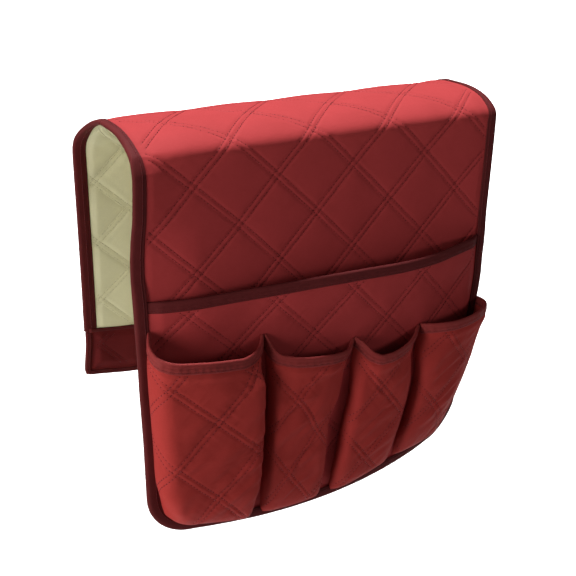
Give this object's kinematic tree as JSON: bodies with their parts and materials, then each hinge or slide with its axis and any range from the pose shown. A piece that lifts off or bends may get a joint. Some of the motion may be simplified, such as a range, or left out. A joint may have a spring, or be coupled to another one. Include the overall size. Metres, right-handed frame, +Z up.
{
  "type": "sofa armrest organizer",
  "caption": "Quilted organizer that lies over a sofa armrest, with a wide magazine pocket and four open pockets on its front panel, a back flap and a tuck band",
  "frame": {"origin": "underside of the saddle, on the ridge of the armrest, half way along it", "axes": "+X along the armrest, -Y towards the room on the pocket side, +Z up"},
  "size_m": [0.33, 0.1648, 0.3417],
  "materials": {
    "quilted_fabric": "quilted satin microfibre",
    "pocket_fabric": "quilted satin microfibre",
    "lining_fabric": "quilted plain weave",
    "binding_tape": "folded bias tape",
    "batting": "needled polyester wadding"
  },
  "bodies": {
    "saddle": {"saddle_face": "quilted_fabric", "saddle_batting": "batting", "saddle_lining": "lining_fabric", "saddle_binding_left": "binding_tape", "saddle_binding_right": "binding_tape"},
    "front_panel": {"front_face": "quilted_fabric", "magazine_pocket_face": "quilted_fabric", "front_batting": "batting", "front_lining": "lining_fabric", "magazine_pocket_lining": "lining_fabric", "front_edge_binding": "binding_tape", "magazine_pocket_binding": "binding_tape", "remote_pocket_binding": "binding_tape", "phone_pocket_binding": "binding_tape", "pen_pocket_binding": "binding_tape", "glasses_pocket_binding": "binding_tape", "remote_pocket": "pocket_fabric", "phone_pocket": "pocket_fabric", "pen_pocket": "pocket_fabric", "glasses_pocket": "pocket_fabric"},
    "back_flap": {"back_face": "quilted_fabric", "back_batting": "batting", "back_lining": "lining_fabric", "back_binding_left": "binding_tape", "back_binding_right": "binding_tape"},
    "tuck_band": {"tuck_band_face": "quilted_fabric", "tuck_band_lining": "quilted_fabric", "tuck_band_batting": "batting", "tuck_band_binding": "binding_tape"}
  },
  "joints": [
    {"name": "front_panel_lift", "type": "hinge", "parent": "saddle", "child": "front_panel", "pos_m": [0, -0.0683, -0.01855], "axis": [-1, 0, 0], "range_deg": [0, 90]},
    {"name": "back_flap_lift", "type": "hinge", "parent": "saddle", "child": "back_flap", "pos_m": [0, 0.06295, -0.0372], "axis": [1, 0, 0], "range_deg": [0, 90]},
    {"name": "tuck_band_fold", "type": "hinge", "parent": "back_flap", "child": "tuck_band", "pos_m": [0, 0.06295, -0.1942], "axis": [1, 0, 0], "range_deg": [0, 90]}
  ]
}
